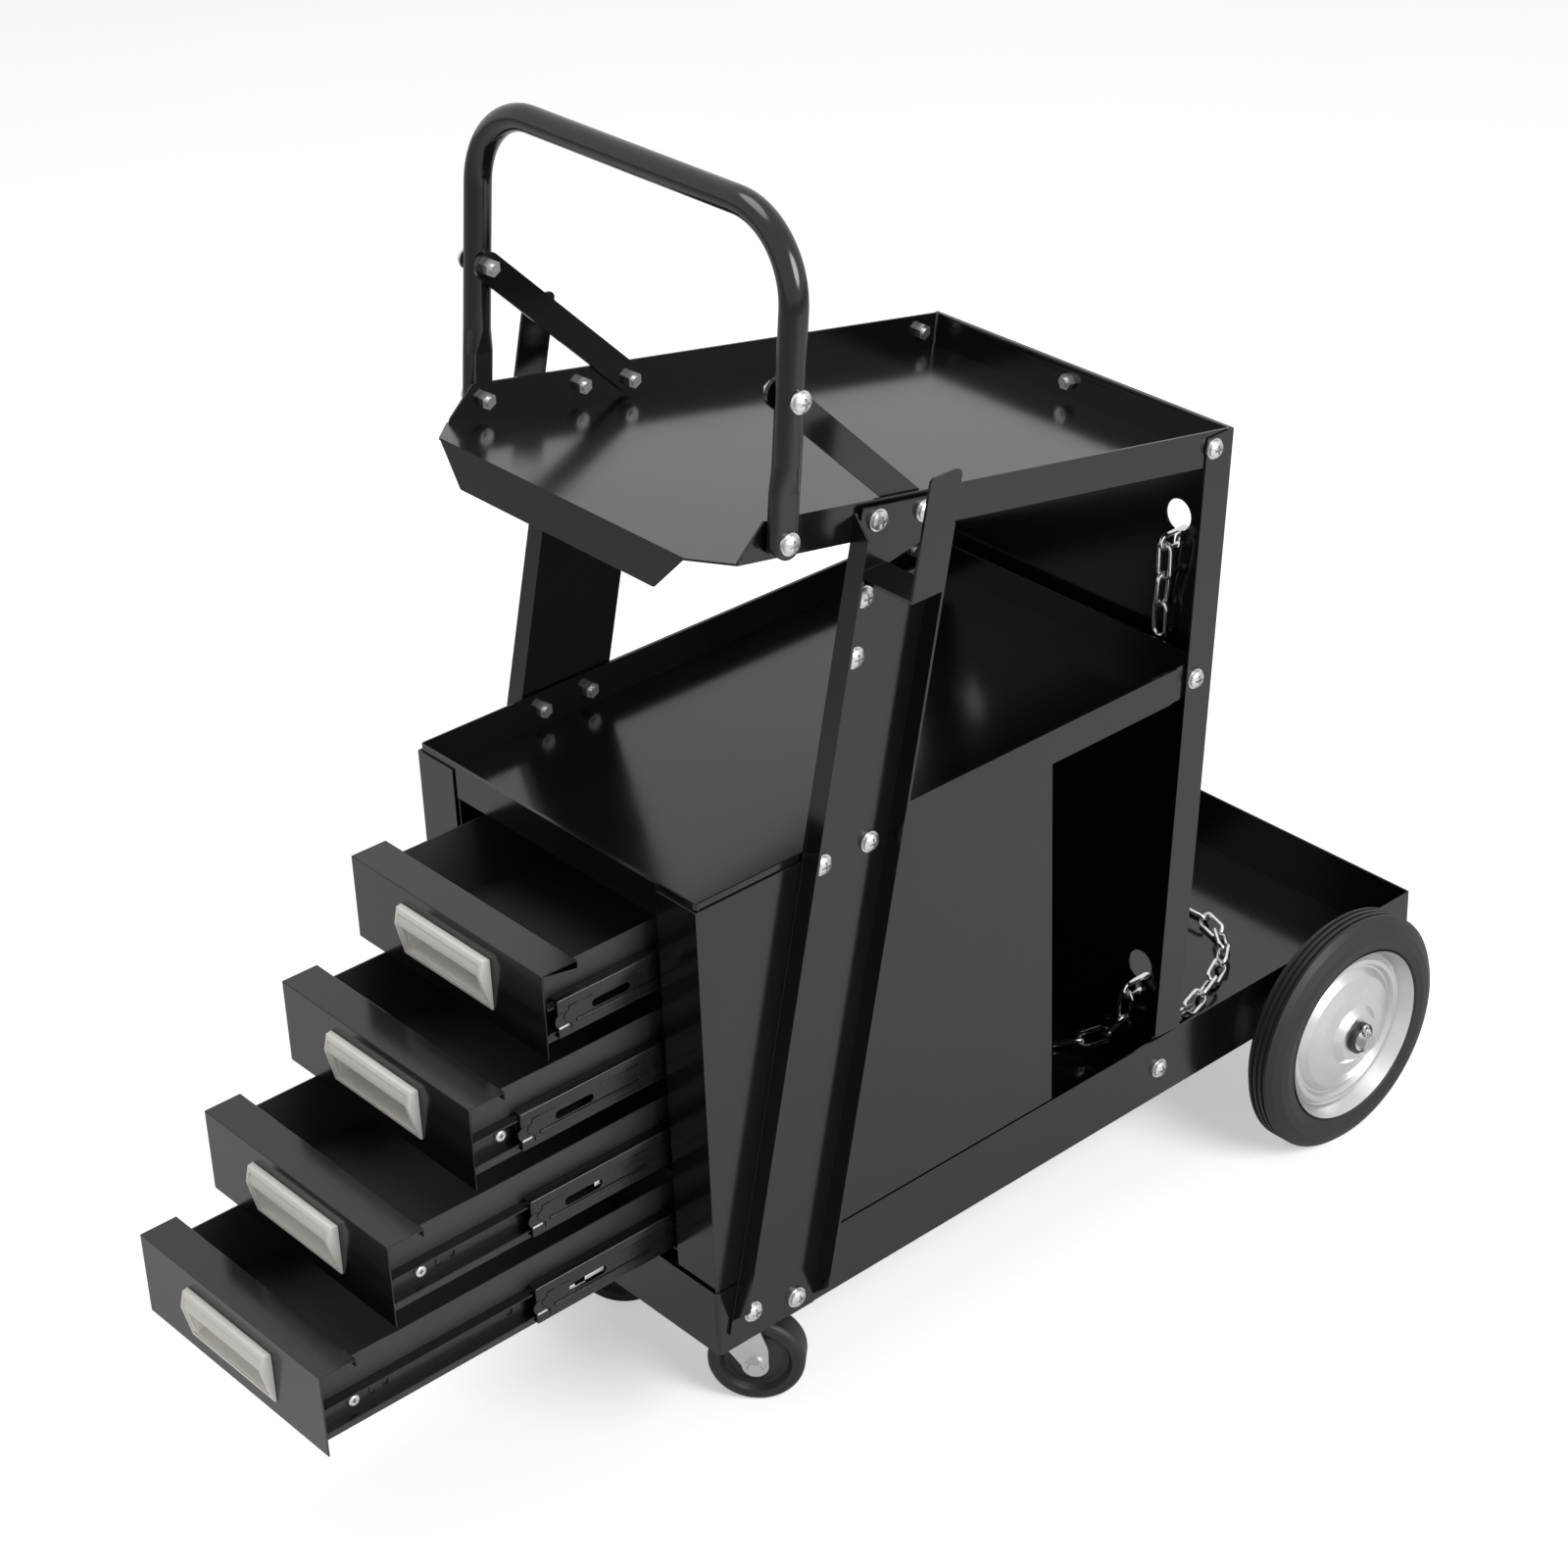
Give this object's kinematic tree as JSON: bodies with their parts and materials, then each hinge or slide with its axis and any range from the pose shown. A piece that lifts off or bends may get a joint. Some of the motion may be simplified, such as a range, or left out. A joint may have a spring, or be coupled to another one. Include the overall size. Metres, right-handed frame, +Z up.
{
  "type": "welding cart",
  "caption": "Steel welding cart: drawer cabinet on a bottle tray, shelf pan, sloping top tray on leaning struts, push handle, cable hooks, chains, rear wheels and swivel casters.",
  "frame": {"origin": "on the ground below the middle of the cart's width and depth with its drawers as they stand", "axes": "+X to the cart's right seen from behind the handle, +Y towards the gas bottles, +Z up"},
  "size_m": [0.3998, 0.973, 0.8685],
  "materials": {
    "powder_coat": "black powder coat, semi-gloss",
    "zinc_plate": "bright zinc plated steel",
    "axle_steel": "drawn steel, zinc plated",
    "rim_zinc": "pressed steel, zinc plated",
    "tyre_rubber": "black rubber",
    "bush_plastic": "black nylon",
    "caster_rubber": "hard black rubber",
    "chain_nickel": "nickel plated steel wire",
    "slide_steel": "black electro-coat",
    "pull_plastic": "light warm grey plastic"
  },
  "bodies": {
    "frame": {"base_tray": "powder_coat", "axle_brackets": "powder_coat", "left_side_panel": "powder_coat", "right_side_panel": "powder_coat", "shelf_pan": "powder_coat", "cabinet_back": "powder_coat", "left_slide_wall": "powder_coat", "right_slide_wall": "powder_coat", "rear_panel": "powder_coat", "top_tray": "powder_coat", "left_strut": "powder_coat", "right_strut": "powder_coat", "left_hook": "powder_coat", "right_hook": "powder_coat", "handle": "powder_coat", "handle_braces": "powder_coat", "bolts": "zinc_plate", "nuts": "zinc_plate", "upper_chain": "chain_nickel", "lower_chain": "chain_nickel", "rear_axle": "axle_steel", "axle_washers": "zinc_plate", "split_pins": "zinc_plate", "left_caster_plate": "zinc_plate", "right_caster_plate": "zinc_plate", "cabinet_slides": "slide_steel"},
    "middle_slides_1": {"drawer_1_middle_slides": "slide_steel"},
    "drawer_1": {"drawer_1_inner_slides": "slide_steel", "drawer_1_box": "powder_coat", "drawer_1_front": "powder_coat", "drawer_1_pull": "pull_plastic"},
    "middle_slides_2": {"drawer_2_middle_slides": "slide_steel"},
    "drawer_2": {"drawer_2_inner_slides": "slide_steel", "drawer_2_box": "powder_coat", "drawer_2_front": "powder_coat", "drawer_2_pull": "pull_plastic"},
    "middle_slides_3": {"drawer_3_middle_slides": "slide_steel"},
    "drawer_3": {"drawer_3_inner_slides": "slide_steel", "drawer_3_box": "powder_coat", "drawer_3_front": "powder_coat", "drawer_3_pull": "pull_plastic"},
    "middle_slides_4": {"drawer_4_middle_slides": "slide_steel"},
    "drawer_4": {"drawer_4_inner_slides": "slide_steel", "drawer_4_box": "powder_coat", "drawer_4_front": "powder_coat", "drawer_4_pull": "pull_plastic"},
    "right_wheel": {"right_tyre": "tyre_rubber", "right_rim": "rim_zinc", "right_bush": "bush_plastic"},
    "left_wheel": {"left_tyre": "tyre_rubber", "left_rim": "rim_zinc", "left_bush": "bush_plastic"},
    "right_caster": {"right_caster_fork": "zinc_plate", "right_caster_axle": "zinc_plate"},
    "right_caster_roller": {"right_caster_wheel": "caster_rubber"},
    "left_caster": {"left_caster_fork": "zinc_plate", "left_caster_axle": "zinc_plate"},
    "left_caster_roller": {"left_caster_wheel": "caster_rubber"},
    "chain_tail": {"upper_chain_tail": "chain_nickel"}
  },
  "joints": [
    {"name": "drawer_1_lower_slide", "type": "slide", "parent": "frame", "child": "middle_slides_1", "axis": [0, -1, 0], "range_m": [-0.08, 0.04]},
    {"name": "drawer_1_upper_slide", "type": "slide", "parent": "middle_slides_1", "child": "drawer_1", "axis": [0, -1, 0], "range_m": [-0.006, 0.164]},
    {"name": "drawer_2_lower_slide", "type": "slide", "parent": "frame", "child": "middle_slides_2", "axis": [0, -1, 0], "range_m": [-0.114, 0.006]},
    {"name": "drawer_2_upper_slide", "type": "slide", "parent": "middle_slides_2", "child": "drawer_2", "axis": [0, -1, 0], "range_m": [-0.033, 0.137]},
    {"name": "drawer_3_lower_slide", "type": "slide", "parent": "frame", "child": "middle_slides_3", "axis": [0, -1, 0], "range_m": [-0.112, 0.008]},
    {"name": "drawer_3_upper_slide", "type": "slide", "parent": "middle_slides_3", "child": "drawer_3", "axis": [0, -1, 0], "range_m": [-0.102, 0.068]},
    {"name": "drawer_4_lower_slide", "type": "slide", "parent": "frame", "child": "middle_slides_4", "axis": [0, -1, 0], "range_m": [-0.114, 0.006]},
    {"name": "drawer_4_upper_slide", "type": "slide", "parent": "middle_slides_4", "child": "drawer_4", "axis": [0, -1, 0], "range_m": [-0.157, 0.013]},
    {"name": "right_wheel_spin", "type": "hinge", "parent": "frame", "child": "right_wheel", "pos_m": [0.171, 0.374, 0.0935], "axis": [1, 0, 0], "continuous": true},
    {"name": "left_wheel_spin", "type": "hinge", "parent": "frame", "child": "left_wheel", "pos_m": [-0.171, 0.374, 0.0935], "axis": [1, 0, 0], "continuous": true},
    {"name": "right_caster_swivel", "type": "hinge", "parent": "frame", "child": "right_caster", "pos_m": [0.073, -0.1525, 0.09], "axis": [0, 0, 1], "continuous": true},
    {"name": "right_caster_spin", "type": "hinge", "parent": "right_caster", "child": "right_caster_roller", "pos_m": [0.09113, -0.13529, 0.0335], "axis": [-0.6884, 0.7254, 0], "continuous": true},
    {"name": "left_caster_swivel", "type": "hinge", "parent": "frame", "child": "left_caster", "pos_m": [-0.073, -0.1525, 0.09], "axis": [0, 0, 1], "continuous": true},
    {"name": "left_caster_spin", "type": "hinge", "parent": "left_caster", "child": "left_caster_roller", "pos_m": [-0.05487, -0.13529, 0.0335], "axis": [-0.6884, 0.7254, 0], "continuous": true},
    {"name": "chain_tail_swing", "type": "hinge", "parent": "frame", "child": "chain_tail", "pos_m": [0.1015, 0.24341, 0.51488], "axis": [0, 1, 0], "range_deg": [-20, 20]}
  ]
}
